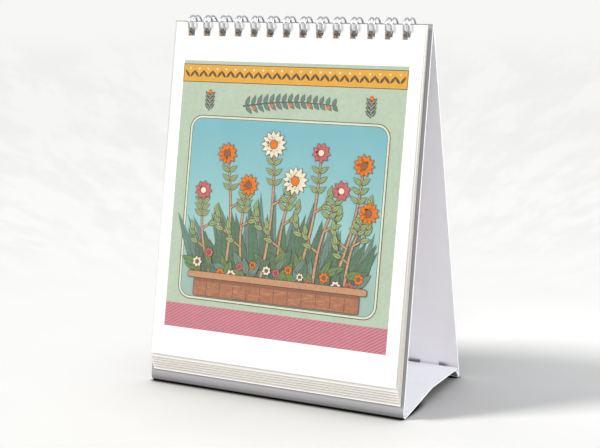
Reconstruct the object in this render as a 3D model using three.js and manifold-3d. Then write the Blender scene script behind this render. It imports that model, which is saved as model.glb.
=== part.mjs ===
// A monthly desk calendar: a pad of leaves on a twin-loop wire, held by a folding card easel.
// Millimetres, +Z up, +X to the reader's right, +Y away from the reader.
// The sections of the easel are drawn in (y, z), from the sharp corner where its front would meet the table.

import * as THREE from 'three';
import { mergeVertices } from 'three/addons/utils/BufferGeometryUtils.js';
import Module from 'manifold-3d';

const wasm = await Module();
wasm.setup();

const radians = THREE.MathUtils.degToRad;

// Easel card
const cardThickness = 1;
const cardWidth = 132;
const creaseGap = 0.3;
const frontLean = radians(9.3);
const frontHeight = 175;
const foldRadius = 3;
const baseRise = radians(8.1);
const midCreaseShare = 0.492;
const backLean = radians(14.5);
const riserLean = radians(41);
const riserLength = 4.2;
const rearFlat = radians(25);
const tabWidth = 9.2;
const tabClear = 0.3;
const tabCentre = 51.1;

// Leaves
const coverWidth = 127.2;
const monthWidth = 129.1;
const leafThickness = 0.15;
const leafPitch = 0.16;
const monthLeaves = 6;
const coverHeight = 159.7;
const coverStep = 2;
const leafStep = 1.23;
const leafFan = radians(0.22);
const coverFan = radians(1.02);

// Punched holes
const holeSize = 3.8;
const holePitch = 25.4 / 3;
const holeMargin = 4.5;
const holeBelowRing = 4.05;
const backHoleBelowRing = 5;

// Twin-loop wire
const wireDiameter = 0.9;
const wireRadius = 4;
const strandSpacing = 2.6;
const rootBend = 0.9;
const rootAngle = radians(8.6);
const tipGap = 0.45;
const wireSides = 6;
const strandSteps = 20;
const noseSteps = 4;
const bendSteps = 2;

// Where the card and the leaves pass through the wire, measured from its axis
const frontFaceAhead = 0.35;
const backFaceBehind = 0.5;
const frontTopAbove = 1.55;
const backTopBelow = 1.9;
const leafTopAbove = 0.72;
const coverAhead = 2.82;

// Finishes
const whiteCard = { color: 0xf4f4f6, roughness: 0.55, metalness: 0 };
const whitePaper = { color: 0xfcfcfa, roughness: 0.5, metalness: 0 };
const silverWire = { color: 0xc9ccd1, roughness: 0.25, metalness: 1 };

// Directions and points in the (y, z) section
const vec = (y, z) => new THREE.Vector2(y, z);
const along = (angle) => vec(Math.cos(angle), Math.sin(angle));
const from = (point, ...moves) =>
  moves.reduce((p, [direction, distance]) => p.addScaledVector(direction, distance), point.clone());

const frontUp = vec(Math.sin(frontLean), Math.cos(frontLean));
const frontOut = vec(-Math.cos(frontLean), Math.sin(frontLean));
const backUp = vec(-Math.sin(backLean), Math.cos(backLean));
const backOut = vec(Math.cos(backLean), Math.sin(backLean));
const baseFrontWay = along(baseRise);
const baseFrontTop = along(baseRise + Math.PI / 2);
const riserWay = along(Math.PI / 2 + riserLean);
const riserOut = along(Math.PI + riserLean);

// The wire's axis hangs from the top edge of the front panel
const ringAxis = from(vec(0, 0), [frontUp, frontHeight - frontTopAbove], [frontOut, -frontFaceAhead]);

// The front fold rests on its lowest facet, which ends where the base begins
const foldCentreZ = foldRadius * Math.cos(baseRise);
const foldCentreY = (foldRadius + foldCentreZ * Math.sin(frontLean)) / Math.cos(frontLean);
const foldCentre = vec(foldCentreY, foldCentreZ);
const foldEnd = from(foldCentre, [baseFrontTop, -foldRadius]);
const foldHinge = from(foldEnd, [baseFrontTop, cardThickness], [baseFrontWay, creaseGap / 2]);

// The rear fold is a narrow V, whose apex lies on the inner face of the back panel
const apexZ = cardThickness * Math.cos(rearFlat);
const backBelowRing = (ringAxis.y + backFaceBehind * backOut.y - apexZ) / backUp.y;
const apex = from(ringAxis, [backOut, backFaceBehind], [backUp, -backBelowRing]);
const riserHinge = from(apex, [riserWay, creaseGap / 2]);

// The riser holds up the rear edge of the base, and the mid crease shares out the way from there to the front fold
const crest = from(apex, [riserWay, riserLength], [vec(0, 1), creaseGap]);
const baseFrontLength = (midCreaseShare * (crest.x - foldEnd.x)) / Math.cos(baseRise);
const midCrease = from(foldEnd, [baseFrontWay, baseFrontLength]);
const baseRearWay = crest.clone().sub(midCrease).normalize();
const baseRearLength = crest.distanceTo(midCrease);
const midHinge = from(midCrease, [baseRearWay, creaseGap / 2]);

// The tabs reach from there almost to the inner face of the back panel
const baseRearEdge = from(crest, [vec(-baseRearWay.y, baseRearWay.x), cardThickness]);
const tabLength = apex.clone().sub(baseRearEdge).dot(backOut) / baseRearWay.dot(backOut) - tabClear;

// The origin lies under the middle of the whole: halfway from the cover's lower edge to the rear fold
const coverLean = frontLean + coverFan;
const coverUp = vec(Math.sin(coverLean), Math.cos(coverLean));
const coverOut = vec(-Math.cos(coverLean), Math.sin(coverLean));
const coverFoot = from(ringAxis, [coverOut, coverAhead], [coverUp, leafTopAbove - coverHeight]);
const rearmost = from(apex, [backOut, cardThickness]);
const middleY = (coverFoot.x + rearmost.x) / 2;

const calendar = new THREE.Group();
calendar.position.y = -middleY;

function add(name, geometry, finish) {
  const mesh = new THREE.Mesh(geometry, new THREE.MeshStandardMaterial(finish));
  mesh.name = name;
  calendar.add(mesh);
  return mesh;
}

// A section in (y, z), run across the calendar from side to side
function runAcross(section, width) {
  const geometry = new THREE.ExtrudeGeometry(new THREE.Shape(section), {
    depth: width,
    bevelEnabled: false,
  });
  geometry.applyMatrix4(
    new THREE.Matrix4().makeBasis(
      new THREE.Vector3(0, 1, 0),
      new THREE.Vector3(0, 0, 1),
      new THREE.Vector3(1, 0, 0),
    ),
  );
  return geometry.translate(-width / 2, 0, 0);
}

function toSolid(geometry) {
  const bare = geometry.clone();
  bare.deleteAttribute('normal');
  bare.deleteAttribute('uv');
  const merged = mergeVertices(bare, 1e-5);
  return new wasm.Manifold(
    new wasm.Mesh({
      numProp: 3,
      vertProperties: new Float32Array(merged.attributes.position.array),
      triVerts: new Uint32Array(merged.index.array),
    }),
  );
}

function toGeometry(solid) {
  const { vertProperties, triVerts } = solid.getMesh();
  const geometry = new THREE.BufferGeometry();
  geometry.setAttribute('position', new THREE.BufferAttribute(vertProperties, 3));
  geometry.setIndex(new THREE.BufferAttribute(triVerts, 1));
  geometry.computeVertexNormals();
  return geometry;
}

// Where the wire's loops stand along X
const loopCount = Math.floor((coverWidth - 2 * holeMargin - holeSize) / holePitch) + 1;
const loopX = Array.from({ length: loopCount }, (_, i) => (i - (loopCount - 1) / 2) * holePitch);

// Square holes punched square through a panel, in one row below the wire
function punch(geometry, up, belowRing) {
  const centre = from(ringAxis, [up, -belowRing]);
  const tilt = Math.atan2(up.y, up.x);
  const reach = 4 * (cardThickness + frontFaceAhead + backFaceBehind);
  return loopX.reduce((panel, x) => {
    const cutter = new THREE.BoxGeometry(holeSize, holeSize, reach);
    cutter.rotateX(tilt).translate(x, centre.x, centre.y);
    return panel.subtract(toSolid(cutter));
  }, toSolid(geometry));
}

// Points on an arc in the section
const arc = (centre, radius, angles) => angles.map((angle) => from(centre, [along(angle), radius]));

// The front panel, with the rounded fold that the easel stands on
function frontPanel() {
  const start = Math.PI - frontLean;
  const flatStart = 1.5 * Math.PI - baseRise;
  const flatEnd = 1.5 * Math.PI + baseRise;
  const bend = [0, 0.25, 0.5, 0.75, 1].map((share) => start + share * (flatStart - start));
  const angles = [...bend, flatEnd];
  const top = from(vec(0, 0), [frontUp, frontHeight]);
  const section = [
    top,
    ...arc(foldCentre, foldRadius, angles),
    ...arc(foldCentre, foldRadius - cardThickness, angles).reverse(),
    from(top, [frontOut, -cardThickness]),
  ];
  return add('front_panel', toGeometry(punch(runAcross(section, cardWidth), frontUp, holeBelowRing)), whiteCard);
}

// The back panel, down to the narrow fold that it stands on
function backPanel() {
  const start = backLean;
  const flatStart = -Math.PI / 2 + rearFlat;
  const flatEnd = -Math.PI / 2 - rearFlat;
  const end = riserLean - Math.PI;
  const angles = [start, (start + flatStart) / 2, flatStart, flatEnd, end];
  const top = from(ringAxis, [backOut, backFaceBehind], [backUp, -backTopBelow]);
  const section = [
    from(top, [backOut, cardThickness]),
    top,
    apex,
    ...arc(apex, cardThickness, angles).reverse(),
  ];
  return add('back_panel', toGeometry(punch(runAcross(section, cardWidth), backUp, backHoleBelowRing)), whiteCard);
}

// A flat outline in its own plane: x across, y along the way it lies, and its thickness above that plane
function plate(name, outline, point, tilt) {
  const geometry = new THREE.ExtrudeGeometry(new THREE.Shape(outline), {
    depth: cardThickness,
    bevelEnabled: false,
  });
  const mesh = add(name, geometry, whiteCard);
  mesh.position.set(0, point.x, point.y);
  mesh.rotation.x = tilt;
  return mesh;
}

// An edge across the card with a step at each tab, from its right end to its left
function tabbedEdge(height, step) {
  const points = [vec(cardWidth / 2, height)];
  for (const centre of [tabCentre, -tabCentre]) {
    points.push(vec(centre + tabWidth / 2, height));
    points.push(vec(centre + tabWidth / 2, height + step));
    points.push(vec(centre - tabWidth / 2, height + step));
    points.push(vec(centre - tabWidth / 2, height));
  }
  points.push(vec(-cardWidth / 2, height));
  return points;
}

function baseFront() {
  const outline = [
    vec(-cardWidth / 2, creaseGap),
    vec(cardWidth / 2, creaseGap),
    vec(cardWidth / 2, baseFrontLength),
    vec(-cardWidth / 2, baseFrontLength),
  ];
  return plate('base_front', outline, foldEnd, baseRise);
}

// The rear half of the base, with the two tabs that keep the rear fold open
function baseRear() {
  const outline = [
    vec(-cardWidth / 2, creaseGap),
    vec(cardWidth / 2, creaseGap),
    ...tabbedEdge(baseRearLength, tabLength),
  ];
  return plate('base_rear', outline, midCrease, baseRearWay.angle());
}

// The riser lifts the rear edge of the base, and is notched where the tabs were cut from it
function riser() {
  const outline = [
    vec(-cardWidth / 2, creaseGap),
    vec(cardWidth / 2, creaseGap),
    ...tabbedEdge(riserLength, -tabLength),
  ];
  const tilt = Math.PI / 2 + riserLean;
  return plate('rear_riser', outline, apex, tilt);
}

// A leaf hangs with its front face a set distance ahead of the wire's axis
function leaf(name, width, height, ahead, lean) {
  const up = vec(Math.sin(lean), Math.cos(lean));
  const out = vec(-Math.cos(lean), Math.sin(lean));
  const top = from(ringAxis, [out, ahead], [up, leafTopAbove]);
  const foot = from(top, [up, -height]);
  const section = [top, foot, from(foot, [out, -leafThickness]), from(top, [out, -leafThickness])];
  return add(name, toGeometry(punch(runAcross(section, width), up, holeBelowRing)), whitePaper);
}

// The cover and the month leaves fan out towards their lower edges, each longer than the one before it
function leaves() {
  leaf('cover_leaf', coverWidth, coverHeight, coverAhead, coverLean);
  for (let k = 1; k <= monthLeaves; k += 1) {
    const height = coverHeight + coverStep + (k - 1) * leafStep;
    const ahead = coverAhead - k * leafPitch;
    leaf(`month_leaf_${k}`, monthWidth, height, ahead, coverLean - k * leafFan);
  }
}

// The wire before it is rolled up: x along the binding, s the length round the loop from its root
function flatWire() {
  const points = [];
  const half = strandSpacing / 2;
  const cornerX = half + rootBend;
  const noseDrop = Math.sqrt((half + rootBend + wireDiameter + tipGap) ** 2 - cornerX ** 2);
  const strandTop = 2 * Math.PI * wireRadius + rootBend - noseDrop;
  for (const centre of loopX) {
    for (let i = 0; i <= bendSteps; i += 1) {
      const turn = (Math.PI / 2) * (i / bendSteps);
      const x = centre - cornerX + rootBend * Math.sin(turn);
      points.push(vec(x, rootBend * (1 - Math.cos(turn))));
    }
    for (let i = 1; i <= strandSteps; i += 1) {
      points.push(vec(centre - half, rootBend + (strandTop - rootBend) * (i / strandSteps)));
    }
    for (let i = 1; i < noseSteps; i += 1) {
      const turn = Math.PI * (i / noseSteps);
      points.push(vec(centre - half * Math.cos(turn), strandTop + half * Math.sin(turn)));
    }
    for (let i = strandSteps; i >= 1; i -= 1) {
      points.push(vec(centre + half, rootBend + (strandTop - rootBend) * (i / strandSteps)));
    }
    for (let i = bendSteps; i >= 0; i -= 1) {
      const turn = (Math.PI / 2) * (i / bendSteps);
      const x = centre + cornerX - rootBend * Math.sin(turn);
      points.push(vec(x, rootBend * (1 - Math.cos(turn))));
    }
  }
  return points;
}

// The same wire rolled round its axis: up behind the back panel, over the top and down through the leaves
function rolledWire() {
  return flatWire().map(({ x, y: s }) => {
    const angle = rootAngle + s / wireRadius;
    const y = ringAxis.x + wireRadius * Math.sin(angle);
    const z = ringAxis.y - wireRadius * Math.cos(angle);
    return new THREE.Vector3(x, y, z);
  });
}

// A closed tube along a path, each ring square to the path and turned as little as the path allows
function tube(path, diameter, sides) {
  const count = path.length;
  const tangents = path.map((_, i) =>
    path[Math.min(i + 1, count - 1)].clone().sub(path[Math.max(i - 1, 0)]).normalize(),
  );
  const side = new THREE.Vector3(0, 0, 1).cross(tangents[0]).normalize();
  const positions = [];
  path.forEach((point, i) => {
    side.addScaledVector(tangents[i], -side.dot(tangents[i])).normalize();
    const other = tangents[i].clone().cross(side);
    for (let j = 0; j < sides; j += 1) {
      const turn = (2 * Math.PI * j) / sides;
      const corner = point
        .clone()
        .addScaledVector(side, (diameter / 2) * Math.cos(turn))
        .addScaledVector(other, (diameter / 2) * Math.sin(turn));
      positions.push(...corner.toArray());
    }
  });
  const index = [];
  for (let i = 0; i + 1 < count; i += 1) {
    for (let j = 0; j < sides; j += 1) {
      const a = i * sides + j;
      const b = i * sides + ((j + 1) % sides);
      index.push(a, b, a + sides, b, b + sides, a + sides);
    }
  }
  for (let j = 1; j + 1 < sides; j += 1) {
    const last = (count - 1) * sides;
    index.push(0, j + 1, j, last, last + j, last + j + 1);
  }
  const geometry = new THREE.BufferGeometry();
  geometry.setAttribute('position', new THREE.Float32BufferAttribute(positions, 3));
  geometry.setIndex(index);
  geometry.computeVertexNormals();
  return geometry;
}

// The least distance between two stretches of the wire that aren't neighbours along it
function leastSelfGap(path, diameter) {
  const distances = [0];
  for (let i = 1; i < path.length; i += 1) {
    distances.push(distances[i - 1] + path[i].distanceTo(path[i - 1]));
  }
  const apart = 4 * diameter;
  let least = Infinity;
  for (let i = 0; i < path.length; i += 1) {
    for (let j = i + 1; j + 1 < path.length; j += 1) {
      if (distances[j] - distances[i] < apart) continue;
      const line = new THREE.Line3(path[j], path[j + 1]);
      const nearest = line.closestPointToPoint(path[i], true, new THREE.Vector3());
      least = Math.min(least, nearest.distanceTo(path[i]) - diameter);
    }
  }
  return least;
}

function wireBinding() {
  const path = rolledWire();
  console.log(`least gap of the wire to itself: ${leastSelfGap(path, wireDiameter).toFixed(2)} mm`);
  return add('wire_binding', tube(path, wireDiameter, wireSides), silverWire);
}

function printAxis(name, point) {
  console.log(`${name}: y ${(point.x - middleY).toFixed(3)}, z ${point.y.toFixed(3)}`);
}

frontPanel();
backPanel();
baseFront();
baseRear();
riser();
leaves();
wireBinding();

printAxis('wire axis', ringAxis);
printAxis('front fold hinge', foldHinge);
printAxis('mid crease hinge', midHinge);
printAxis('rear fold hinge', riserHinge);
printAxis('front rest', foldCentre);
printAxis('rear rest', apex);

export default calendar;
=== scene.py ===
import math
import random

import bmesh
import bpy
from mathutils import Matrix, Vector


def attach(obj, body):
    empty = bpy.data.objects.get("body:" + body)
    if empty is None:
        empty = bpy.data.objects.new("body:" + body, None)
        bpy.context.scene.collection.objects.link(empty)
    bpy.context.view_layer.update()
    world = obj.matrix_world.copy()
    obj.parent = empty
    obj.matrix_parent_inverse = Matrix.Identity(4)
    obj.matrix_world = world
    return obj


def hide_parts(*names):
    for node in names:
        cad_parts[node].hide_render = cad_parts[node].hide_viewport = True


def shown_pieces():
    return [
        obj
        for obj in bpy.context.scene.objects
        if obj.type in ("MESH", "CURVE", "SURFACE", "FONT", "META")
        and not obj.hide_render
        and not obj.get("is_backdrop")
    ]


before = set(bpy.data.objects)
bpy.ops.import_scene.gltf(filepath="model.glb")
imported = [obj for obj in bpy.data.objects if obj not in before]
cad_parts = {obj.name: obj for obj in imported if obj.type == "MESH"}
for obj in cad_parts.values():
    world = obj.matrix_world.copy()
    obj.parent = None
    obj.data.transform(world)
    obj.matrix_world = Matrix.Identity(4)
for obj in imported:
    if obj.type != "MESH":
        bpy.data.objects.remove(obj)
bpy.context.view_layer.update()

scene = bpy.context.scene


# Camera
# It stands to the right of the calendar and a little above it, and looks slightly down.
# Its place and lens come from the corners of the leaves, the folds and the holes in the photograph.
CAMERA_PLACE = (0.26625, -0.53664, 0.18887)
CAMERA_YAW = 26.61
CAMERA_PITCH = 10.562
CAMERA_LENS = 76.455
FILM_WIDE = 36
NEAREST_SEEN = 0.01
FARTHEST_SEEN = 50


def placed(name, data):
    """A new object with this data, in the scene."""
    made = bpy.data.objects.new(name, data)
    scene.collection.objects.link(made)
    return made


camera_data = bpy.data.cameras.new("camera")
camera_data.lens = CAMERA_LENS
camera_data.sensor_width = FILM_WIDE
camera_data.clip_start = NEAREST_SEEN
camera_data.clip_end = FARTHEST_SEEN
camera = placed("camera", camera_data)
camera.location = CAMERA_PLACE
camera.rotation_euler = (math.radians(90 - CAMERA_PITCH), 0, math.radians(CAMERA_YAW))
scene.camera = camera
scene.view_settings.view_transform = "Standard"


# Room and lamps
# A white studio: one broad soft lamp to the left and in front, two fill lamps to the right, and an even
# white room around them, which only the camera and reflections see as nearly pure white.
ROOM_STRENGTH = 0.54
ROOM_TINT = (0.965, 0.98, 1, 1)
KEY_WAY = (0.605, 0.42, -0.6)
KEY_STRENGTH = 2.1
KEY_BREADTH = 14
KEY_TINT = (1, 0.985, 0.96)
SIDE_WAY = (-0.85, 0.02, -0.5)
SIDE_STRENGTH = 2.65
FRONT_WAY = (-0.55, 0.8, -0.15)
FRONT_STRENGTH = 0.85
FILL_BREADTH = 30
FILL_TINT = (0.96, 0.98, 1)


def linear(red, green, blue):
    """A colour given as 0 to 255, in linear values."""
    def one(value):
        share = value / 255
        return share / 12.92 if share <= 0.04045 else ((share + 0.055) / 1.055) ** 2.4
    return (one(red), one(green), one(blue), 1)


def node(tree, kind, **settings):
    """A new shader node with these settings."""
    made = tree.nodes.new(kind)
    for key, value in settings.items():
        setattr(made, key, value)
    return made


def feed(tree, socket, value):
    """Gives a socket another node's output, or a constant."""
    if hasattr(value, "is_output"):
        tree.links.new(value, socket)
    else:
        socket.default_value = value


def math_node(tree, operation, *values):
    """One value worked out from outputs or constants."""
    made = node(tree, "ShaderNodeMath", operation=operation)
    for socket, value in zip(made.inputs, values):
        feed(tree, socket, value)
    return made.outputs[0]


BACKDROP = linear(247, 247, 245)


def white_room():
    world = bpy.data.worlds.new("white_room")
    scene.world = world
    world.use_nodes = True
    tree = world.node_tree
    tree.nodes.clear()
    room = node(tree, "ShaderNodeBackground")
    room.inputs["Color"].default_value = ROOM_TINT
    room.inputs["Strength"].default_value = ROOM_STRENGTH
    seen = node(tree, "ShaderNodeBackground")
    seen.inputs["Color"].default_value = BACKDROP
    path = node(tree, "ShaderNodeLightPath")
    clear = math_node(tree, "MAXIMUM", path.outputs["Is Camera Ray"], path.outputs["Is Glossy Ray"])
    clear = math_node(tree, "MAXIMUM", clear, path.outputs["Is Transmission Ray"])
    which = node(tree, "ShaderNodeMixShader")
    for socket, value in zip(which.inputs, (clear, room.outputs[0], seen.outputs[0])):
        feed(tree, socket, value)
    output = node(tree, "ShaderNodeOutputWorld")
    feed(tree, output.inputs["Surface"], which.outputs[0])


def lamp(name, way, strength, breadth, tint):
    """A far lamp whose light travels this way, as broad as this many degrees of the sky."""
    data = bpy.data.lights.new(name, "SUN")
    data.energy = strength
    data.angle = math.radians(breadth)
    data.color = tint
    made = placed(name, data)
    made.rotation_euler = Vector(way).to_track_quat("-Z", "Y").to_euler()
    return made


white_room()
lamp("key", KEY_WAY, KEY_STRENGTH, KEY_BREADTH, KEY_TINT)
side_fill = lamp("side_fill", SIDE_WAY, SIDE_STRENGTH, FILL_BREADTH, FILL_TINT)
front_fill = lamp("front_fill", FRONT_WAY, FRONT_STRENGTH, FILL_BREADTH, FILL_TINT)


# Table top
# A broad white table top with a faint mottle, and faint clouds in the white around the calendar.
# It takes the soft shadow, with painted shade that deepens it close under the card and painted light that
# makes it a little lighter on its right, and the camera sees it fade into the white room.
FLOOR_HALF = 6
FLOOR_WHITE = linear(250, 249, 247)
FLOOR_SEEN = (1.045, 1.04, 1.025, 1)
FLOOR_FADES = (0.35, 1.3)
MOTTLE_GRAIN = 0.016
MOTTLE_STOPS = [(0.35, 0.975), (0.7, 1.0)]
SHADE_SAMPLES = 12
CONTACT_REACH = 0.0038
CONTACT_STOPS = [(0.0, 0.0), (0.5, 0.02), (0.75, 0.6), (0.9, 1.0)]
NEAR_REACH = 0.07
NEAR_STOPS = [(0.45, 0.68), (1.0, 1.0)]
LIFT_SLOPE = 0.6
LIFT_ACROSS = (0.04, 0.22)
LIFT_RIGHT = (0.0, 0.06)
LIFT_BEHIND = (0.03, 0.24)
LIFT_REACH = (0.15, 0.5)
SHADOW_LIFT = (1.24, 1.24, 1.24, 1)
CLOUD_SCALE = 24
CLOUD_DETAIL = 5
CLOUD_ROUGHNESS = 0.62
CLOUD_GROWTH = 0.6
CLOUD_DEPTH = 0.315
CLOUD_STOPS = [(0.36, 0.94), (0.46, 0.955), (0.56, 0.995)]
CLOUDS_START = (0.15, 0.5)
CLOUDS_FADE = (2.2, 5)
NO_SHADE = (1, 1, 1, 1)


def new_material(name):
    material = bpy.data.materials.new(name)
    material.use_nodes = True
    material.node_tree.nodes.clear()
    return material


def show(tree, surface):
    """Puts a surface out as what the material shows."""
    output = node(tree, "ShaderNodeOutputMaterial")
    feed(tree, output.inputs["Surface"], surface)


def mixed(tree, kind, factor, first, second):
    """A Mix node for colours: each of the last three is an output or a constant."""
    mix = node(tree, "ShaderNodeMix", data_type="RGBA", blend_type=kind)
    for socket, value in ((mix.inputs[0], factor), (mix.inputs[6], first), (mix.inputs[7], second)):
        feed(tree, socket, value)
    return mix.outputs[2]


def times(tree, first, second):
    """One colour times another."""
    return mixed(tree, "MULTIPLY", 1.0, first, second)


def rest_of(tree, value):
    """1 less this value."""
    return math_node(tree, "SUBTRACT", 1.0, value)


def all_of(tree, first, *others):
    """A mask of the places where all these masks hold."""
    for other in others:
        first = math_node(tree, "MULTIPLY", first, other)
    return first


def ramp(tree, value, stops):
    """A ramp over 0 to 1, through stops of a place and a grey or a colour."""
    made = node(tree, "ShaderNodeValToRGB")
    elements = made.color_ramp.elements
    for index, (place, shade) in enumerate(stops):
        element = elements[index] if index < 2 else elements.new(place)
        element.position = place
        element.color = (shade, shade, shade, 1) if isinstance(shade, (int, float)) else shade
    feed(tree, made.inputs[0], value)
    return made.outputs[0]


def smooth_step(tree, value, start, end):
    """0 below start, 1 above end and a smooth rise between them."""
    made = node(tree, "ShaderNodeMapRange", interpolation_type="SMOOTHSTEP")
    made.inputs["From Min"].default_value = start
    made.inputs["From Max"].default_value = end
    feed(tree, made.inputs["Value"], value)
    return made.outputs[0]


def own(tree, kind):
    """A place on the object, as its Object or Generated coordinates, or the Normal there."""
    return node(tree, "ShaderNodeTexCoord").outputs[kind]


def axes(tree, vector):
    """The x, y and z of a vector."""
    made = node(tree, "ShaderNodeSeparateXYZ")
    feed(tree, made.inputs[0], vector)
    return made.outputs


def coordinates(tree, stretch=(1000, 1000, 1000)):
    """Object coordinates in millimetres, or stretched in another way."""
    mapping = node(tree, "ShaderNodeMapping")
    mapping.inputs["Scale"].default_value = stretch
    feed(tree, mapping.inputs["Vector"], own(tree, "Object"))
    return mapping.outputs[0]


def noise(tree, vector, scale, detail, roughness=0.5):
    made = node(tree, "ShaderNodeTexNoise")
    made.inputs["Scale"].default_value = scale
    made.inputs["Detail"].default_value = detail
    made.inputs["Roughness"].default_value = roughness
    feed(tree, made.inputs["Vector"], vector)
    return made.outputs["Fac"]


def cloudy(tree, place, reach):
    """Faint clouds in the white, which grow with their distance, so that all look alike in size."""
    way = node(tree, "ShaderNodeVectorMath", operation="NORMALIZE")
    feed(tree, way.inputs[0], place)
    x, y, _ = axes(tree, way.outputs[0])
    share = math_node(tree, "DIVIDE", reach, math_node(tree, "ADD", reach, CLOUD_GROWTH))
    out = math_node(tree, "MULTIPLY", math_node(tree, "LOGARITHM", share, math.e), CLOUD_DEPTH)
    spread = node(tree, "ShaderNodeCombineXYZ")
    for socket, value in zip(spread.inputs, (x, y, out)):
        feed(tree, socket, value)
    clouds = noise(tree, spread.outputs[0], CLOUD_SCALE, CLOUD_DETAIL, CLOUD_ROUGHNESS)
    faded = smooth_step(tree, reach, *CLOUDS_FADE)
    return mixed(tree, "MIX", faded, ramp(tree, clouds, CLOUD_STOPS), NO_SHADE)


def shade_under(tree, reach, stops):
    """Painted shade: the table darkened where something stands over it within this reach."""
    close = node(tree, "ShaderNodeAmbientOcclusion", samples=SHADE_SAMPLES)
    close.inputs["Distance"].default_value = reach
    return ramp(tree, close.outputs["AO"], stops)


def lighter_side(tree, place, reach):
    """A mask of the table right of the calendar and beside it, where its shadow is painted lighter."""
    x, y, _ = axes(tree, place)
    across = smooth_step(tree, math_node(tree, "MULTIPLY_ADD", x, LIFT_SLOPE, y), *LIFT_ACROSS)
    right = smooth_step(tree, x, *LIFT_RIGHT)
    in_front = rest_of(tree, smooth_step(tree, y, *LIFT_BEHIND))
    close = rest_of(tree, smooth_step(tree, reach, *LIFT_REACH))
    return all_of(tree, across, right, in_front, close)


def table_material():
    material = new_material("table_white")
    tree = material.node_tree
    by_camera = node(tree, "ShaderNodeLightPath").outputs["Is Camera Ray"]
    place = own(tree, "Object")
    distance = node(tree, "ShaderNodeVectorMath", operation="LENGTH")
    feed(tree, distance.inputs[0], place)
    reach = distance.outputs["Value"]
    grain = noise(tree, coordinates(tree), MOTTLE_GRAIN, detail=5, roughness=0.6)
    mottle = ramp(tree, grain, MOTTLE_STOPS)
    clouds = cloudy(tree, place, reach)
    seen = times(tree, mottle, FLOOR_SEEN)
    # Painted shade close under the calendar, and painted light that lifts its shadow beside it.
    seen = times(tree, seen, shade_under(tree, CONTACT_REACH, CONTACT_STOPS))
    seen = times(tree, seen, shade_under(tree, NEAR_REACH, NEAR_STOPS))
    seen = mixed(tree, "MULTIPLY", lighter_side(tree, place, reach), seen, SHADOW_LIFT)
    seen = mixed(tree, "MULTIPLY", smooth_step(tree, reach, *CLOUDS_START), seen, clouds)
    plain = times(tree, FLOOR_WHITE, mottle)
    matt = node(tree, "ShaderNodeBsdfDiffuse")
    feed(tree, matt.inputs["Color"], mixed(tree, "MIX", by_camera, plain, seen))
    glow = node(tree, "ShaderNodeEmission")
    feed(tree, glow.inputs["Color"], times(tree, BACKDROP, clouds))
    far = all_of(tree, smooth_step(tree, reach, *FLOOR_FADES), by_camera)
    surface = node(tree, "ShaderNodeMixShader")
    for socket, value in zip(surface.inputs, (far, matt.outputs[0], glow.outputs[0])):
        feed(tree, socket, value)
    show(tree, surface.outputs[0])
    return material


def table_top():
    mesh = bpy.data.meshes.new("table_top")
    corners = [(x * FLOOR_HALF, y * FLOOR_HALF, 0) for x, y in ((-1, -1), (1, -1), (1, 1), (-1, 1))]
    mesh.from_pydata(corners, [], [(0, 1, 2, 3)])
    mesh.materials.append(table_material())
    made = placed("table_top", mesh)
    made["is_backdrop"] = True


table_top()


# Easel
# One sheet of stiff white card, creased into five panels: front, two halves of the base, riser and back.
# It is die cut, creased and punched flat, then folded up and held at the top by the wire.
# The side that faces out when it stands is coated grey, and the inside and the core's cut edges are white.
CARD_WHITE = linear(236, 236, 240)
CARD_GREY = linear(157, 156, 157)
CARD_CORE = linear(222, 222, 224)
# The colour of the hole walls, also used as painted light round the front panel's holes.
CARD_HOLE = linear(232, 208, 184)
CARD_ROUGHNESS = 0.5
CARD_SHINE = 0.35
CARD_FIBRE = 0.03
OUTWARD = {"front_panel": (0, -1, 0.1), "base_front": (0, 0, -1), "base_rear": (0, 0, -1),
           "rear_riser": (0, -0.75, -0.65), "back_panel": (0, 1, 0.2)}
OUTWARD_LEAST = 0.08
FIBRE_ALONG = (700, 2200, 2200)
FIBRE_ACROSS = (2200, 900, 900)
FIBRE_STOPS = [(0.3, 0.0), (0.7, 1.0)]
FIBRE_BUMP = 0.05
FIBRE_HIGH = 0.00004
SOFT_CLOUDS = 0.45
SIDE_LEAST = 0.5
END_LEAST = 0.9
HOLE_ROW_HALF = 0.06
HOLE_ROW_Z = 0.1665
HOLE_ROW_TALL = 0.0045
HOLE_PITCH_HALF = 0.0254 / 6
# Painted light round the punched holes of the front panel.
HOLE_LIGHT_REACH = 0.0026
HOLE_LIGHT_ROW_Z = 0.167
# Painted shade on the grey coat by height above the table: black where it meets the table, with a little
# painted light just above.
FOLD_SHADE_HEIGHT = 0.006
FOLD_SHADE_STOPS = [(0.0, 0.0), (0.06, 0.01), (0.09, 0.06), (0.14, 0.4), (0.17, 0.54), (0.22, 0.66), (0.44, 0.7),
              (0.49, 0.88), (0.68, 0.96), (0.78, 1.15), (0.95, 1.0)]
# Painted shade on the inside of the back: darker upwards in the tent, and dark in the gap behind the riser.
TENT_WHITE = linear(243, 240, 242)
TENT_HIGH = 0.17
TENT_SHADE_STOPS = [(0.1, 1.0), (0.55, 0.955), (0.72, 0.935), (0.82, 0.89), (0.93, 0.83)]
GAP_SHADE = linear(140, 139, 147)
GAP_TOP = (0.0056, 0.0076)
GAP_END = (0.058, 0.0625)
TAB_CENTRE = 0.0511
TAB_HALF = 0.0049


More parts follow.
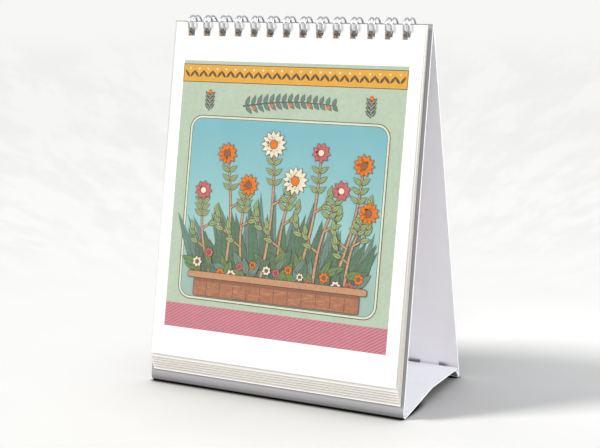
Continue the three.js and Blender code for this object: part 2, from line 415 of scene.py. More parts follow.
def paper_fibre():
    """Paper fibre: fine flecks and soft clouds in the sheet, as a shade near 1 and a surface normal."""
    tree = bpy.data.node_groups.new("paper_fibre", "ShaderNodeTree")
    depth = tree.interface.new_socket("Depth", in_out="INPUT", socket_type="NodeSocketFloat")
    depth.default_value = CARD_FIBRE
    bump_size = tree.interface.new_socket("Bump", in_out="INPUT", socket_type="NodeSocketFloat")
    bump_size.default_value = FIBRE_BUMP
    tree.interface.new_socket("Shade", in_out="OUTPUT", socket_type="NodeSocketColor")
    tree.interface.new_socket("Normal", in_out="OUTPUT", socket_type="NodeSocketVector")
    given = node(tree, "NodeGroupInput")
    result = node(tree, "NodeGroupOutput")
    along = noise(tree, coordinates(tree, FIBRE_ALONG), scale=1.6, detail=4)
    across = noise(tree, coordinates(tree, FIBRE_ACROSS), scale=1.3, detail=4)
    clouds = noise(tree, coordinates(tree), scale=0.09, detail=2)
    fibres = mixed(tree, "MIX", 0.5, along, across)
    spread = ramp(tree, mixed(tree, "MIX", SOFT_CLOUDS, fibres, clouds), FIBRE_STOPS)
    shade = mixed(tree, "MIX", given.outputs["Depth"], NO_SHADE, spread)
    feed(tree, result.inputs["Shade"], shade)
    bump = node(tree, "ShaderNodeBump")
    bump.inputs["Distance"].default_value = FIBRE_HIGH
    feed(tree, bump.inputs["Strength"], given.outputs["Bump"])
    feed(tree, bump.inputs["Height"], fibres)
    feed(tree, result.inputs["Normal"], bump.outputs[0])
    return tree


def cut_edge():
    """Masks of a sheet's cut faces: its two sides, all its edges, and the walls of its punched holes."""
    tree = bpy.data.node_groups.new("cut_edge", "ShaderNodeTree")
    for name in ("Sides", "Cut", "Hole walls"):
        tree.interface.new_socket(name, in_out="OUTPUT", socket_type="NodeSocketFloat")
    result = node(tree, "NodeGroupOutput")
    sideways, _, upright = axes(tree, own(tree, "Normal"))
    x, _, z = axes(tree, own(tree, "Object"))
    sides = math_node(tree, "GREATER_THAN", math_node(tree, "ABSOLUTE", sideways), SIDE_LEAST)
    ends = math_node(tree, "GREATER_THAN", math_node(tree, "ABSOLUTE", upright), END_LEAST)
    cut = math_node(tree, "MAXIMUM", sides, ends)
    within = math_node(tree, "LESS_THAN", math_node(tree, "ABSOLUTE", x), HOLE_ROW_HALF)
    row = math_node(tree, "COMPARE", z, HOLE_ROW_Z, HOLE_ROW_TALL)
    feed(tree, result.inputs["Sides"], sides)
    feed(tree, result.inputs["Cut"], cut)
    feed(tree, result.inputs["Hole walls"], all_of(tree, within, row, cut))
    return tree


FIBRE = paper_fibre()
CUT_EDGE = cut_edge()


def principled(material, roughness, metallic=0.0, specular=0.5):
    """The material's surface, shown as it is."""
    tree = material.node_tree
    shader = node(tree, "ShaderNodeBsdfPrincipled")
    shader.inputs["Roughness"].default_value = roughness
    shader.inputs["Metallic"].default_value = metallic
    shader.inputs["Specular IOR Level"].default_value = specular
    show(tree, shader.outputs[0])
    return shader


def finish_sheet(material, colour, roughness, fibre_depth, specular):
    """Paper fibre over a sheet's colour, and its surface."""
    tree = material.node_tree
    shader = principled(material, roughness, specular=specular)
    fibre = node(tree, "ShaderNodeGroup", node_tree=FIBRE)
    fibre.inputs["Depth"].default_value = fibre_depth
    feed(tree, shader.inputs["Base Color"], times(tree, colour, fibre.outputs["Shade"]))
    feed(tree, shader.inputs["Normal"], fibre.outputs["Normal"])


def inside_of_back(tree, x, z):
    """White with painted shade that deepens upwards inside the tent, and painted shade in the gap behind
    the riser, between tabs and ends.
    """
    off_centre = math_node(tree, "ABSOLUTE", x)
    low = rest_of(tree, smooth_step(tree, z, *GAP_TOP))
    no_tab = rest_of(tree, math_node(tree, "COMPARE", off_centre, TAB_CENTRE, TAB_HALF))
    inner = rest_of(tree, smooth_step(tree, off_centre, *GAP_END))
    painted_dimming = ramp(tree, math_node(tree, "DIVIDE", z, TENT_HIGH), TENT_SHADE_STOPS)
    return mixed(tree, "MIX", all_of(tree, low, no_tab, inner), times(tree, TENT_WHITE, painted_dimming), GAP_SHADE)


def painted_light_round_holes(tree, x, z, coat_and_painted_shade):
    """Painted light round the punched holes of the front: the coat there takes the pale colour of the hole
    walls.
    """
    column = math_node(tree, "PINGPONG", x, HOLE_PITCH_HALF)
    beside = math_node(tree, "SUBTRACT", HOLE_PITCH_HALF, column)
    near_hole_x = math_node(tree, "LESS_THAN", beside, HOLE_LIGHT_REACH)
    near_hole_z = math_node(tree, "COMPARE", z, HOLE_LIGHT_ROW_Z, HOLE_LIGHT_REACH)
    in_row = math_node(tree, "LESS_THAN", math_node(tree, "ABSOLUTE", x), HOLE_ROW_HALF)
    return mixed(tree, "MIX", all_of(tree, near_hole_x, near_hole_z, in_row), coat_and_painted_shade, CARD_HOLE)


def card_material(name, outward):
    """White card, grey outside, with painted shade down to black where it rolls under at the table and a
    little painted light above that.
    """
    material = new_material("card_" + name)
    tree = material.node_tree
    facing = node(tree, "ShaderNodeVectorMath", operation="DOT_PRODUCT")
    facing.inputs[1].default_value = outward
    feed(tree, facing.inputs[0], own(tree, "Normal"))
    outer = math_node(tree, "GREATER_THAN", facing.outputs["Value"], OUTWARD_LEAST)
    x, _, z = axes(tree, own(tree, "Object"))
    coat_and_painted_shade = times(tree, CARD_GREY, ramp(tree, math_node(tree, "DIVIDE", z, FOLD_SHADE_HEIGHT), FOLD_SHADE_STOPS))
    if name == "front_panel":
        coat_and_painted_shade = painted_light_round_holes(tree, x, z, coat_and_painted_shade)
    inside = inside_of_back(tree, x, z) if name == "back_panel" else CARD_WHITE
    edges = node(tree, "ShaderNodeGroup", node_tree=CUT_EDGE)
    card = mixed(tree, "MIX", outer, inside, coat_and_painted_shade)
    card = mixed(tree, "MIX", edges.outputs["Sides"], card, CARD_CORE)
    card = mixed(tree, "MIX", edges.outputs["Hole walls"], card, CARD_HOLE)
    finish_sheet(material, card, CARD_ROUGHNESS, CARD_FIBRE, CARD_SHINE)
    return material


def dress(name, material):
    """Gives a node this material alone."""
    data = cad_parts[name].data
    data.materials.clear()
    data.materials.append(material)


for name, outward in OUTWARD.items():
    dress(name, card_material(name, outward))


# Mid crease
# The card runs on unbroken over the crease in the middle of the base, a little crushed along its line.
# A narrow strip of the same card fills the crease and stays with the front half when the base folds up.
CREASE_HALF = 0.066
CREASE_HINGE = (0.001173, 0.004635)
CREASE_WIDE = 0.00028
CREASE_THICK = 0.00098
CREASE_LEAN = math.radians(4.9)
CREASE_EDGE = 0.97


def mesh_from(build, name):
    """Ends a bmesh as a mesh of this name."""
    data = bpy.data.meshes.new(name)
    build.to_mesh(data)
    build.free()
    return data


def mid_crease():
    build = bmesh.new()
    profile = ((-0.5, 0), (0.5, 0), (0.5, CREASE_EDGE), (0, 1), (-0.5, CREASE_EDGE))
    ends = []
    for x in (-CREASE_HALF, CREASE_HALF):
        ring = []
        for along, up in profile:
            y = CREASE_HINGE[0] + along * CREASE_WIDE - up * CREASE_THICK * math.sin(CREASE_LEAN)
            z = CREASE_HINGE[1] + along * CREASE_WIDE * math.sin(CREASE_LEAN) + up * CREASE_THICK
            ring.append(build.verts.new((x, y, z)))
        ends.append(ring)
    build.faces.new(ends[0])
    build.faces.new(ends[1][::-1])
    for index in range(len(profile)):
        after = (index + 1) % len(profile)
        build.faces.new((ends[0][after], ends[0][index], ends[1][index], ends[1][after]))
    bmesh.ops.recalc_face_normals(build, faces=build.faces[:])
    data = mesh_from(build, "mid_crease_strip")
    data.materials.append(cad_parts["base_front"].data.materials[0])
    made = placed("mid_crease_strip", data)
    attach(made, "base_front")


mid_crease()


# Leaves
# A cover and six month leaves of smooth white printing paper, cut to stepped lengths and punched together.
# They hang loose on the wire, so their cut edges show as a fine stack along the right side.
MONTH_LEAVES = [f"month_leaf_{number}" for number in range(1, 7)]
LEAF_HOLE = linear(244, 226, 206)
LEAF_ROUGHNESS = 0.5
LEAF_SHINE = 0.35
LEAF_FIBRE = 0.012
COVER_WHITE = linear(252, 252, 251)
# The foot lines are painted shade, where each leaf shades the one behind it, and the cut edges share their
# colour.
COVER_EDGE_AND_SHADE = linear(226, 220, 211)
COVER_LINE = 0.001
# The first month leaf is a darker copy, with painted shade for the cover's shadow over it.
FIRST_SHADED_CREAM = linear(226, 222, 217)
MONTH_CREAM = linear(245, 240, 233)
MONTH_EDGE_AND_SHADE = linear(168, 161, 153)
MONTH_LINE = 0.0017
LAST_CREAM = linear(245, 241, 233)
LAST_EDGE = linear(252, 251, 248)
LAST_LINE = 0.0025
# A faint grey strip along the left edge of the leaves, partway up.
LEFT_GREY = linear(208, 206, 203)
LEFT_GREY_MARGIN = (0.0634, 0.0638)
LEFT_GREY_HEIGHT = (0.09, 0.125)


def leaf_material(name, face, edge, line):
    """Smooth paper with a thin line at its foot in the colour of its cut edges, painted shade on all but
    the pale last leaf, and a faint grey strip along its left edge.
    """
    material = new_material(name)
    tree = material.node_tree
    _, _, share = axes(tree, own(tree, "Generated"))
    foot_line = math_node(tree, "LESS_THAN", share, line)
    edges = node(tree, "ShaderNodeGroup", node_tree=CUT_EDGE)
    cut_or_foot_line = math_node(tree, "MAXIMUM", foot_line, edges.outputs["Cut"])
    x, _, z = axes(tree, own(tree, "Object"))
    left = smooth_step(tree, math_node(tree, "MULTIPLY", x, -1.0), *LEFT_GREY_MARGIN)
    grey_left_strip = all_of(tree, left, smooth_step(tree, z, *LEFT_GREY_HEIGHT))
    paper = mixed(tree, "MIX", cut_or_foot_line, face, edge)
    paper = mixed(tree, "MIX", grey_left_strip, paper, LEFT_GREY)
    paper = mixed(tree, "MIX", edges.outputs["Hole walls"], paper, LEAF_HOLE)
    finish_sheet(material, paper, LEAF_ROUGHNESS, LEAF_FIBRE, LEAF_SHINE)
    return material


month_paper = leaf_material("leaf_paper_month", MONTH_CREAM, MONTH_EDGE_AND_SHADE, MONTH_LINE)
dress("cover_leaf", leaf_material("leaf_paper_cover", COVER_WHITE, COVER_EDGE_AND_SHADE, COVER_LINE))
dress(MONTH_LEAVES[0], leaf_material("leaf_paper_first_shaded", FIRST_SHADED_CREAM, MONTH_EDGE_AND_SHADE, MONTH_LINE))
for name in MONTH_LEAVES[1:-1]:
    dress(name, month_paper)
dress(MONTH_LEAVES[-1], leaf_material("leaf_paper_last", LAST_CREAM, LAST_EDGE, LAST_LINE))


# Wire
# Silver coated steel wire, 0.9 mm thick, formed into twin loops and closed through the punched holes.
# It is one length of wire: each loop runs out, round its tip and back before it steps to the next.
# It is shown a trace thinner than it is, so that the leaves clear it as they turn.
MM = 0.001
AXIS_Y = -7.124
AXIS_Z = 171.114
LOOPS = 14
LOOP_PITCH = 25.4 / 3
WIRE_RADIUS = 4
WIRE_THICK = 0.9
WIRE_SEEN = 0.87
HALF_SPACING = 1.3
ROOT_BEND = 0.9
ROOT_ANGLE = math.radians(8.6)
TIP_GAP = 0.45
WIRE_GRAIN = 3.0
WIRE_TONES = [(0.3, linear(158, 160, 168)), (0.7, linear(206, 208, 213))]
WIRE_ROUGHNESS = 0.24
WIRE_ROUGH_STOPS = [(0.3, 0.18), (0.75, 0.32)]
WIRE_BUMP = 0.15
WIRE_BUMP_HIGH = 0.00002


def flat_loop(straight=36, bend=6, nose=14):
    """One loop before the wire is rolled up: x across it, and the way round from its root."""
    corner = HALF_SPACING + ROOT_BEND
    drop = math.sqrt((corner + WIRE_THICK + TIP_GAP) ** 2 - corner ** 2)
    top = 2 * math.pi * WIRE_RADIUS + ROOT_BEND - drop
    points = []
    for step in range(bend + 1):
        turn = math.pi / 2 * step / bend
        points.append((-corner + ROOT_BEND * math.sin(turn), ROOT_BEND * (1 - math.cos(turn))))
    for step in range(1, straight + 1):
        points.append((-HALF_SPACING, ROOT_BEND + (top - ROOT_BEND) * step / straight))
    back = [(-x, way) for x, way in reversed(points)]
    for step in range(1, nose):
        turn = math.pi * step / nose
        points.append((-HALF_SPACING * math.cos(turn), top + HALF_SPACING * math.sin(turn)))
    return points + back


def wire_route():
    """The wire rolled round its axis, as points in millimetres."""
    points = []
    for number in range(LOOPS):
        centre = (number - (LOOPS - 1) / 2) * LOOP_PITCH
        for x, way in flat_loop():
            angle = ROOT_ANGLE + way / WIRE_RADIUS
            y = AXIS_Y + WIRE_RADIUS * math.sin(angle)
            z = AXIS_Z - WIRE_RADIUS * math.cos(angle)
            points.append((centre + x, y, z))
    return points


def wire_material():
    material = new_material("silver_wire")
    tree = material.node_tree
    shader = principled(material, WIRE_ROUGHNESS, metallic=1.0)
    fine = noise(tree, coordinates(tree), WIRE_GRAIN, detail=3)
    feed(tree, shader.inputs["Base Color"], ramp(tree, fine, WIRE_TONES))
    feed(tree, shader.inputs["Roughness"], ramp(tree, fine, WIRE_ROUGH_STOPS))
    bump = node(tree, "ShaderNodeBump")
    bump.inputs["Strength"].default_value = WIRE_BUMP
    bump.inputs["Distance"].default_value = WIRE_BUMP_HIGH
    feed(tree, bump.inputs["Height"], fine)
    feed(tree, shader.inputs["Normal"], bump.outputs[0])
    return material


def wire():
    data = bpy.data.curves.new("twin_loop_wire", "CURVE")
    data.dimensions = "3D"
    data.bevel_depth = WIRE_SEEN / 2 * MM
    data.bevel_resolution = 3
    data.use_fill_caps = True
    points = wire_route()
    spline = data.splines.new("POLY")
    spline.points.add(len(points) - 1)
    for target, (x, y, z) in zip(spline.points, points):
        target.co = (x * MM, y * MM, z * MM, 1)
    spline.use_smooth = True
    data.materials.append(wire_material())
    made = placed("twin_loop_wire", data)
    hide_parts("wire_binding")
    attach(made, "front_panel")


wire()


# Cover print
# The picture on the cover, printed in flat inks with fine brown outlines on the white leaf.
# Each shape lies a trace ahead of what was printed before it, so that later ones cover earlier ones.
# Its sizes are in millimetres: x across from the middle, and v up from the foot of the print.
COVER_LEAN = math.radians(10.32)
COVER_AHEAD = 2.82
COVER_TOP = 0.72
COVER_HIGH = 159.7
PRINT_FOOT = 14.16
PRINT_HALF = 57.6
PRINT_HIGH = 127.2
FIRST_INK = 0.01
INK_THICK = 0.0004
INK_ROUGHNESS = 0.55
INK_FIBRE = 0.09
INK_SHINE = 0.3
LINE_WIDE = 0.28
RIB_REACH = 0.85
RIB_WIDE = (0.28, 0.1)
PETAL_SWELL = 0.8
PETAL_OVERLAP = 1.73
CENTRE_SHARE = 0.3
printed = []


def press(kind, outlines):
    """Prints outlines in one ink, over all that is printed already."""
    printed.append((kind, outlines))


def on_cover(x, v, lift):
    """The point at x and v of the print, this far ahead of the first ink, in metres."""
    height = COVER_TOP - COVER_HIGH + PRINT_FOOT + v
    ahead = COVER_AHEAD + FIRST_INK + lift
    y = AXIS_Y + height * math.sin(COVER_LEAN) - ahead * math.cos(COVER_LEAN)
    z = AXIS_Z + height * math.cos(COVER_LEAN) + ahead * math.sin(COVER_LEAN)
    return (x * MM, y * MM, z * MM)


def rectangle(x0, v0, x1, v1):
    return [(x0, v0), (x1, v0), (x1, v1), (x0, v1)]


def rounded(x0, v0, x1, v1, radius, steps=8):
    """A rectangle with round corners."""
    points = []
    corners = ((x1 - radius, v0 + radius, -90), (x1 - radius, v1 - radius, 0),
               (x0 + radius, v1 - radius, 90), (x0 + radius, v0 + radius, 180))
    for cx, cv, start in corners:
        for step in range(steps + 1):
            turn = math.radians(start + 90 * step / steps)
            points.append((cx + radius * math.cos(turn), cv + radius * math.sin(turn)))
    return points


def disc(cx, cv, radius, steps=20):
    turns = [2 * math.pi * step / steps for step in range(steps)]
    return [(cx + radius * math.cos(turn), cv + radius * math.sin(turn)) for turn in turns]


def petal(cx, cv, angle, start, length, wide, steps=7):
    """A pointed oval that starts a little way from a centre and runs out at an angle."""
    edge = []
    for step in range(steps + 1):
        swell = math.sin(math.pi * (step / steps) ** PETAL_SWELL)
        edge.append((start + length * step / steps, wide / 2 * swell))
    outline = edge + [(along, -across) for along, across in reversed(edge[1:-1])]
    cos, sin = math.cos(angle), math.sin(angle)
    return [(cx + along * cos - across * sin, cv + along * sin + across * cos) for along, across in outline]


def ribbon(path, wide0, wide1):
    """A stroke along a path, from one width to another."""
    left, right = [], []
    for index, (x, v) in enumerate(path):
        before = path[max(index - 1, 0)]
        after = path[min(index + 1, len(path) - 1)]
        length = math.hypot(after[0] - before[0], after[1] - before[1])
        across = (-(after[1] - before[1]) / length, (after[0] - before[0]) / length)
        half = (wide0 + (wide1 - wide0) * index / (len(path) - 1)) / 2
        left.append((x + across[0] * half, v + across[1] * half))
        right.append((x - across[0] * half, v - across[1] * half))
    return left + right[::-1]


def bow(x0, v0, x1, v1, bulge, steps=8):
    """A path from one point to another that bulges to its left."""
    length = math.hypot(x1 - x0, v1 - v0)
    across = (-(v1 - v0) / length, (x1 - x0) / length)
    path = []
    for step in range(steps + 1):
        share = step / steps
        out = bulge * math.sin(math.pi * share)
        path.append((x0 + (x1 - x0) * share + across[0] * out, v0 + (v1 - v0) * share + across[1] * out))
    return path


def leaf_shape(kind, x, v, angle, length, wide, vein="outline"):
    """A leaf with its outline under it and its midrib on it."""
    press("outline", [petal(x, v, angle, -LINE_WIDE, length + 2 * LINE_WIDE, wide + 2 * LINE_WIDE)])
    press(kind, [petal(x, v, angle, 0, length, wide)])
    tip = (x + RIB_REACH * length * math.cos(angle), v + RIB_REACH * length * math.sin(angle))
    press(vein, [ribbon([(x, v), tip], *RIB_WIDE)])


def flower(kind, centre_kind, x, v, radius, petals, turn):
    """A round flower: a ring of petals with outlines, and a round centre."""
    wide = PETAL_OVERLAP * math.pi * radius / petals
    angles = [turn + 2 * math.pi * number / petals for number in range(petals)]
    press("outline", [petal(x, v, angle, 0, radius + LINE_WIDE, wide + 2 * LINE_WIDE) for angle in angles])
    press(kind, [petal(x, v, angle, 0, radius, wide) for angle in angles])
    press("outline", [disc(x, v, radius * CENTRE_SHARE + LINE_WIDE)])
    press(centre_kind, [disc(x, v, radius * CENTRE_SHARE)])


ROSE_BORDER_HEAD = 11.5
HATCH_INSET = 0.05
HATCH_GAP = 2.5
HATCH_RISE = 0.6
HATCH_THICK = 0.95
YELLOW_BORDER = (117.0, 125.6)
YELLOW_LINE = 0.35
BUDS = 23
BUD_PITCH = 4.9
BUD_FOOT = 119.2
BUD_HEAD = 123.4
BUD_SPREAD = 38


def hatching(foot, head):
    """Slanting lines across the width of the print, cut off at its sides."""
    shapes = []
    run = (head - foot) / HATCH_RISE
    for number in range(int((2 * PRINT_HALF + run) / HATCH_GAP)):
        start = -PRINT_HALF - run + number * HATCH_GAP
        low = max(start, -PRINT_HALF)
        high = min(start + run, PRINT_HALF)
        if high - low > HATCH_THICK:
            v_low = foot + (low - start) * HATCH_RISE
            v_high = foot + (high - start) * HATCH_RISE
            shapes.append([(low, v_low), (low + HATCH_THICK, v_low),
                           (high, v_high - HATCH_THICK * HATCH_RISE), (high, v_high)])
    return shapes


def borders():
    """Pale green ground, an orange-yellow border near its head and a hatched rose one at its foot."""
    press("pale_green", [rectangle(-PRINT_HALF, 0, PRINT_HALF, PRINT_HIGH)])
    press("rose", [rectangle(-PRINT_HALF, 0, PRINT_HALF, ROSE_BORDER_HEAD)])
    press("rose_dark", hatching(HATCH_INSET, ROSE_BORDER_HEAD - HATCH_INSET))
    foot, head = YELLOW_BORDER
    half = PRINT_HALF - YELLOW_LINE
    press("outline", [rectangle(-PRINT_HALF, foot, PRINT_HALF, head)])
    press("orange_yellow", [rectangle(-half, foot + YELLOW_LINE, half, head - YELLOW_LINE)])
    for number in range(BUDS):
        x = (number - (BUDS - 1) / 2) * BUD_PITCH
        for side in (-1, 1):
            angle = math.radians(90 - side * BUD_SPREAD)
            press("outline", [petal(x, BUD_FOOT, angle, start=0.2, length=4.4, wide=1.3)])
        press("cream", [disc(x, BUD_HEAD, radius=0.5, steps=12)])


BOUGH = (-24, 106.5, 24, 108.5)
BOUGH_RISE = 1.8
BOUGH_PAIRS = 15
BOUGH_LEAN = 12
BOUGH_SPREAD = 58
SPRIGS = (-42, 41)
SPRIG_FOOT = 103.6
SPRIG_HEAD = 112
SPRIG_PAIRS = 4
SPRIG_PITCH = 1.9
SPRIG_SPREAD = 48


def garland():
    """A leafy bough across the green above the picture, with a small sprig at each side of it."""
    press("slate", [ribbon(bow(*BOUGH, BOUGH_RISE, steps=16), 0.9, 0.5)])
    path = bow(*BOUGH, BOUGH_RISE, steps=2 * BOUGH_PAIRS)
    for number in range(BOUGH_PAIRS):
        x, v = path[2 * number + 1]
        length = 5.0 - 1.6 * (number + 0.5) / BOUGH_PAIRS
        for side in (-1, 1):
            angle = math.radians(BOUGH_LEAN + side * BOUGH_SPREAD)
            leaf_shape("foliage_far", x, v, angle, length, wide=1.7, vein="slate")
        if number % 3 == 1:
            press("orange", [disc(x + 0.8, v - 1.4, radius=0.85, steps=14)])
    for x in SPRIGS:
        press("slate", [ribbon(bow(x, SPRIG_FOOT, x, SPRIG_HEAD, bulge=0.6), 0.6, 0.3)])
        for number in range(SPRIG_PAIRS):
            v = SPRIG_FOOT + 1 + SPRIG_PITCH * number
            for side in (-1, 1):
                angle = math.radians(90 - side * SPRIG_SPREAD)
                leaf_shape("slate", x, v, angle, length=3.4, wide=1.2, vein="pale_green")
        press("orange", [disc(x, SPRIG_HEAD + 0.8, radius=1.1, steps=16)])


PANEL = (-51.0, 14.6, 51.0, 101.0)
PANEL_LINES = (("outline", 0.5, 6.5), ("frame_light", 0.15, 6.2),
               ("outline", -0.75, 5.4), ("sky", -1.0, 5.2))


def grown(box, out):
    """A box made larger by this much on every side."""
    x0, v0, x1, v1 = box
    return x0 - out, v0 - out, x1 + out, v1 + out


def panel():
    """A wide panel with round corners and a double line, filled with a teal that fades downwards."""
    for kind, out, radius in PANEL_LINES:
        press(kind, [rounded(*grown(PANEL, out), radius)])


BLADE_ROWS = (("foliage_far", 44, 34), ("foliage", 36, 32))
BLADES_HALF = 39
BLADES_FOOT = 22
BLADES_LEAN = 24
BLADES_ROUNDED = 9


def background_leaves():
    """Tall blades that fan up behind the flowers, the farthest ones palest."""
    for row, (kind, reach, count) in enumerate(BLADE_ROWS):
        for number in range(count):
            share = number / (count - 1) * 2 - 1
            x = share * BLADES_HALF + random.uniform(-1.2, 1.2)
            angle = math.radians(90 - share * BLADES_LEAN + random.uniform(-12, 12))
            length = (reach - BLADES_ROUNDED * share * share) * random.uniform(0.72, 1.05)
            leaf_shape(kind, x, BLADES_FOOT + row, angle, length, wide=random.uniform(3.2, 5.4))


STALKS = ((-34, -41.5, 66), (-27, -30, 84), (-17, -17.5, 70), (-8, -6, 89.5), (1, 6.5, 73.5),
          (10, 18.5, 87), (19, 30, 70.5), (28, 40, 82.5), (35, 44, 61.5))
STALK_FOOT = 25
STALK_BOW = 2.6
STALK_LEAVES = (10, 11, 12)
STALK_SPREAD = 55
BRANCHES = ((5, -1), (8, 1))
BRANCH_RUN = 6.5
BRANCH_RISE = 7.5
BRANCH_BOW = 1.2
BRANCH_LEAVES = (3, 6, 8)
BRANCH_SPREAD = 110
BRANCH_TURN = 12


def side_branch(x, v, side):
    """A branch to one side of a stalk, with leaves that turn up towards its tip."""
    branch = bow(x, v, x + side * BRANCH_RUN, v + BRANCH_RISE, -side * BRANCH_BOW)
    press("outline", [ribbon(branch, 1.4, 0.8)])
    press("stem", [ribbon(branch, 0.9, 0.35)])
    for step in BRANCH_LEAVES:
        angle = math.radians(90 - side * (BRANCH_SPREAD - BRANCH_TURN * step))
        leaf_shape("leaf_light", *branch[step], angle, length=5.2, wide=2.1)


def stalks():
    """Pale woody stalks that rise from the box, each with two side branches."""
    for number, (x, head_x, head_v) in enumerate(STALKS):
        path = bow(x, STALK_FOOT, head_x, head_v, (-1) ** number * STALK_BOW, steps=14)
        press("outline", [ribbon(path, 1.9, 1.0)])
        press("stem", [ribbon(path, 1.35, 0.55)])
        for step, side in BRANCHES:
            side_branch(*path[step], side)
        for step in STALK_LEAVES:
            for side in (-1, 1):
                angle = math.radians(90 - side * STALK_SPREAD)
                leaf_shape("leaf_light", *path[step], angle, length=5.0, wide=1.9)


FLOWERS = (("rose_petal", "cream", 4.6, 9), ("cream", "orange", 6.6, 13), ("orange", "stem_dark", 5.2, 11))
FLOWER_TURN = 0.4


def flowers():
    """A flower on every stalk: rose, orange or cream, two of a kind side by side."""
    for number, (_, x, v) in enumerate(STALKS):
        kind, centre, radius, petals = FLOWERS[(number + number % 2) % 3]
        flower(kind, centre, x, v, radius, petals, FLOWER_TURN * number)


LOW_HALF = 43
LOW_FOOT = 23
LOW_HEAD = 36
LOW_LEAVES = ("foliage", "foliage_near", "foliage_far", "foliage_near")
LOW_LEAF_COUNT = 52
LOW_FLOWERS = ("cream", "rose_petal", "orange")
LOW_FLOWER_COUNT = 15
LOW_FLOWER_PITCH = 6


def undergrowth():
    """Short broad leaves and small flowers that crowd over the rim of the box."""
    for number in range(LOW_LEAF_COUNT):
        x = random.uniform(-LOW_HALF, LOW_HALF)
        v = random.uniform(LOW_FOOT, LOW_HEAD - abs(x) * 0.1)
        angle = math.radians(90 - x * 0.9 + random.uniform(-55, 55))
        kind = LOW_LEAVES[number % len(LOW_LEAVES)]
        leaf_shape(kind, x, v, angle, length=random.uniform(6.5, 10.5), wide=random.uniform(2.6, 4.0))
    for number in range(LOW_FLOWER_COUNT):
        x = (number - (LOW_FLOWER_COUNT - 1) / 2) * LOW_FLOWER_PITCH + random.uniform(-1.5, 1.5)
        v = random.uniform(LOW_FOOT + 4, LOW_HEAD + 1)
        kind = LOW_FLOWERS[number % len(LOW_FLOWERS)]
        flower(kind, "stem_dark", x, v, radius=random.uniform(1.9, 2.6), petals=7, turn=number)


BOX = (-43.0, 16.0, 43.0, 24.5)
BOX_RIM = (-46.5, 24.4, 46.5, 27.8)
BOX_LINE = 0.3
BOARDS = 12
BOARD_HEAD = 23.0
BOARD_GAP = 0.28
GRAIN_LINES = 70


def flower_box():
    """A long box of upright boards with a grain, and a rim along its head that shades them."""
    x0, v0, x1, _ = BOX
    for kind, shape, radius in (("box_light", BOX_RIM, 1.2), ("box", BOX, 1.0)):
        press("outline", [rounded(*shape, radius)])
        press(kind, [rounded(*grown(shape, -BOX_LINE), radius - 0.2)])
    press("stem_dark", [rectangle(x0 + 0.6, BOARD_HEAD, x1 - 0.6, BOARD_HEAD + 1.1)])
    for number in range(1, BOARDS):
        x = x0 + (x1 - x0) * number / BOARDS
        press("outline", [rectangle(x - BOARD_GAP / 2, v0 + 0.4, x + BOARD_GAP / 2, BOARD_HEAD)])
    for number in range(GRAIN_LINES):
        x = random.uniform(x0 + 1, x1 - 5)
        v = random.uniform(v0 + 0.8, BOARD_HEAD - 0.6)
        press("box_light", [ribbon([(x, v), (x + random.uniform(1.5, 4), v + 0.1)], 0.26, 0.08)])


SKY_STOPS = [(0.0, linear(160, 186, 172)), (0.45, linear(158, 202, 198)), (1.0, linear(128, 184, 192))]
SKY_FOOT_Z = 0.045
SKY_HEAD_Z = 0.122

# Each ink has its colour, the second tone of its flecks, how fine they are, and how far they spread.
INKS = {
    "pale_green": ((189, 204, 181), (180, 197, 173), 0.6, 0.5),
    "rose": ((210, 140, 149), (198, 128, 139), 1.2, 0.7),
    "rose_dark": ((180, 104, 118), (192, 116, 128), 0.8, 0.6),
    "orange_yellow": ((232, 174, 70), (224, 163, 60), 0.8, 0.5),
    "outline": ((88, 70, 58), (116, 94, 76), 1.5, 0.4),
    "frame_light": ((226, 232, 208), (214, 222, 196), 0.8, 0.5),
    "foliage_far": ((116, 146, 132), (98, 128, 118), 0.7, 0.9),
    "foliage": ((98, 130, 104), (78, 108, 90), 0.8, 0.9),
    "foliage_near": ((120, 148, 92), (88, 120, 76), 0.9, 0.9),
    "leaf_light": ((158, 180, 122), (134, 160, 104), 0.9, 0.8),
    "stem": ((206, 168, 132), (172, 124, 94), 0.9, 0.8),
    "stem_dark": ((150, 106, 80), (124, 84, 66), 0.9, 0.8),
    "cream": ((240, 232, 206), (230, 220, 190), 0.9, 0.5),
    "orange": ((232, 128, 44), (220, 112, 38), 0.8, 0.6),
    "rose_petal": ((206, 112, 112), (186, 92, 98), 0.8, 0.7),
    "box": ((178, 122, 92), (154, 100, 76), 0.5, 0.9),
    "box_light": ((204, 154, 118), (184, 132, 100), 0.6, 0.8),
    "slate": ((104, 118, 112), (84, 98, 96), 0.9, 0.7),
}


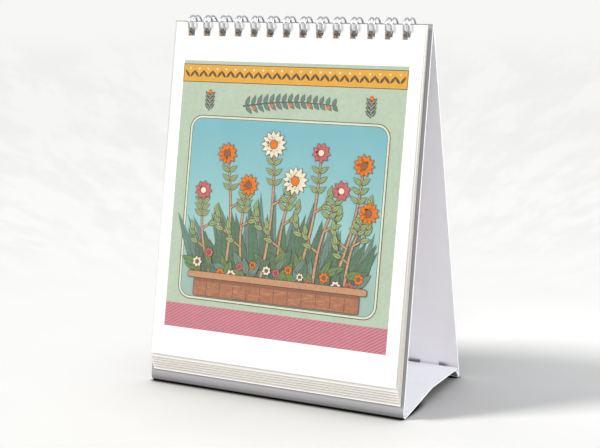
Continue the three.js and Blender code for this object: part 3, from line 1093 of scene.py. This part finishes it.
def ink_colour(tree, name):
    """A flat ink with the flecks of a second tone, or the teal that fades from the head of the panel."""
    if name == "sky":
        _, _, z = axes(tree, own(tree, "Object"))
        reach = node(tree, "ShaderNodeMapRange")
        reach.inputs["From Min"].default_value = SKY_FOOT_Z
        reach.inputs["From Max"].default_value = SKY_HEAD_Z
        feed(tree, reach.inputs["Value"], z)
        return ramp(tree, reach.outputs[0], SKY_STOPS)
    colour, tone, grain, amount = INKS[name]
    flecks = noise(tree, coordinates(tree), grain, detail=5, roughness=0.65)
    spread = ramp(tree, flecks, [(0.5 - 0.3 * amount, 0.0), (0.62, 1.0)])
    return mixed(tree, "MIX", spread, linear(*tone), linear(*colour))


def print_ink(name):
    """All the shapes of one ink, as one thin mesh that lies on the cover."""
    build = bmesh.new()
    for order, (kind, outlines) in enumerate(printed):
        if kind != name:
            continue
        for number, outline in enumerate(outlines):
            lift = INK_THICK * (order + number / len(outlines))
            build.faces.new([build.verts.new(on_cover(x, v, lift)) for x, v in outline])
    for face in build.faces:
        face.normal_update()
        if face.normal.y > 0:
            face.normal_flip()
    bmesh.ops.triangulate(build, faces=build.faces[:])
    data = mesh_from(build, "print_" + name)
    material = new_material("ink_" + name)
    finish_sheet(material, ink_colour(material.node_tree, name), INK_ROUGHNESS, INK_FIBRE, INK_SHINE)
    data.materials.append(material)
    made = placed("print_" + name, data)
    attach(made, "cover_leaf")


random.seed(11)
borders()
garland()
panel()
background_leaves()
stalks()
flowers()
undergrowth()
flower_box()
for name in ["sky"] + list(INKS):
    print_ink(name)


# Fill lamps
# The side fill lights the calendar alone and leaves the table to the key lamp, so its shadow stays deep.
# The low front fill reaches the card and the feet of the month leaves, and not the cover.


def lights_only(made, objects):
    """The lamp lights these objects and no others."""
    lit = bpy.data.collections.new(made.name + "_lights")
    for each in objects:
        lit.objects.link(each)
    made.light_linking.receiver_collection = lit


lights_only(side_fill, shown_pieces())
lights_only(front_fill, [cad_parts[name] for name in (*OUTWARD, *MONTH_LEAVES)])
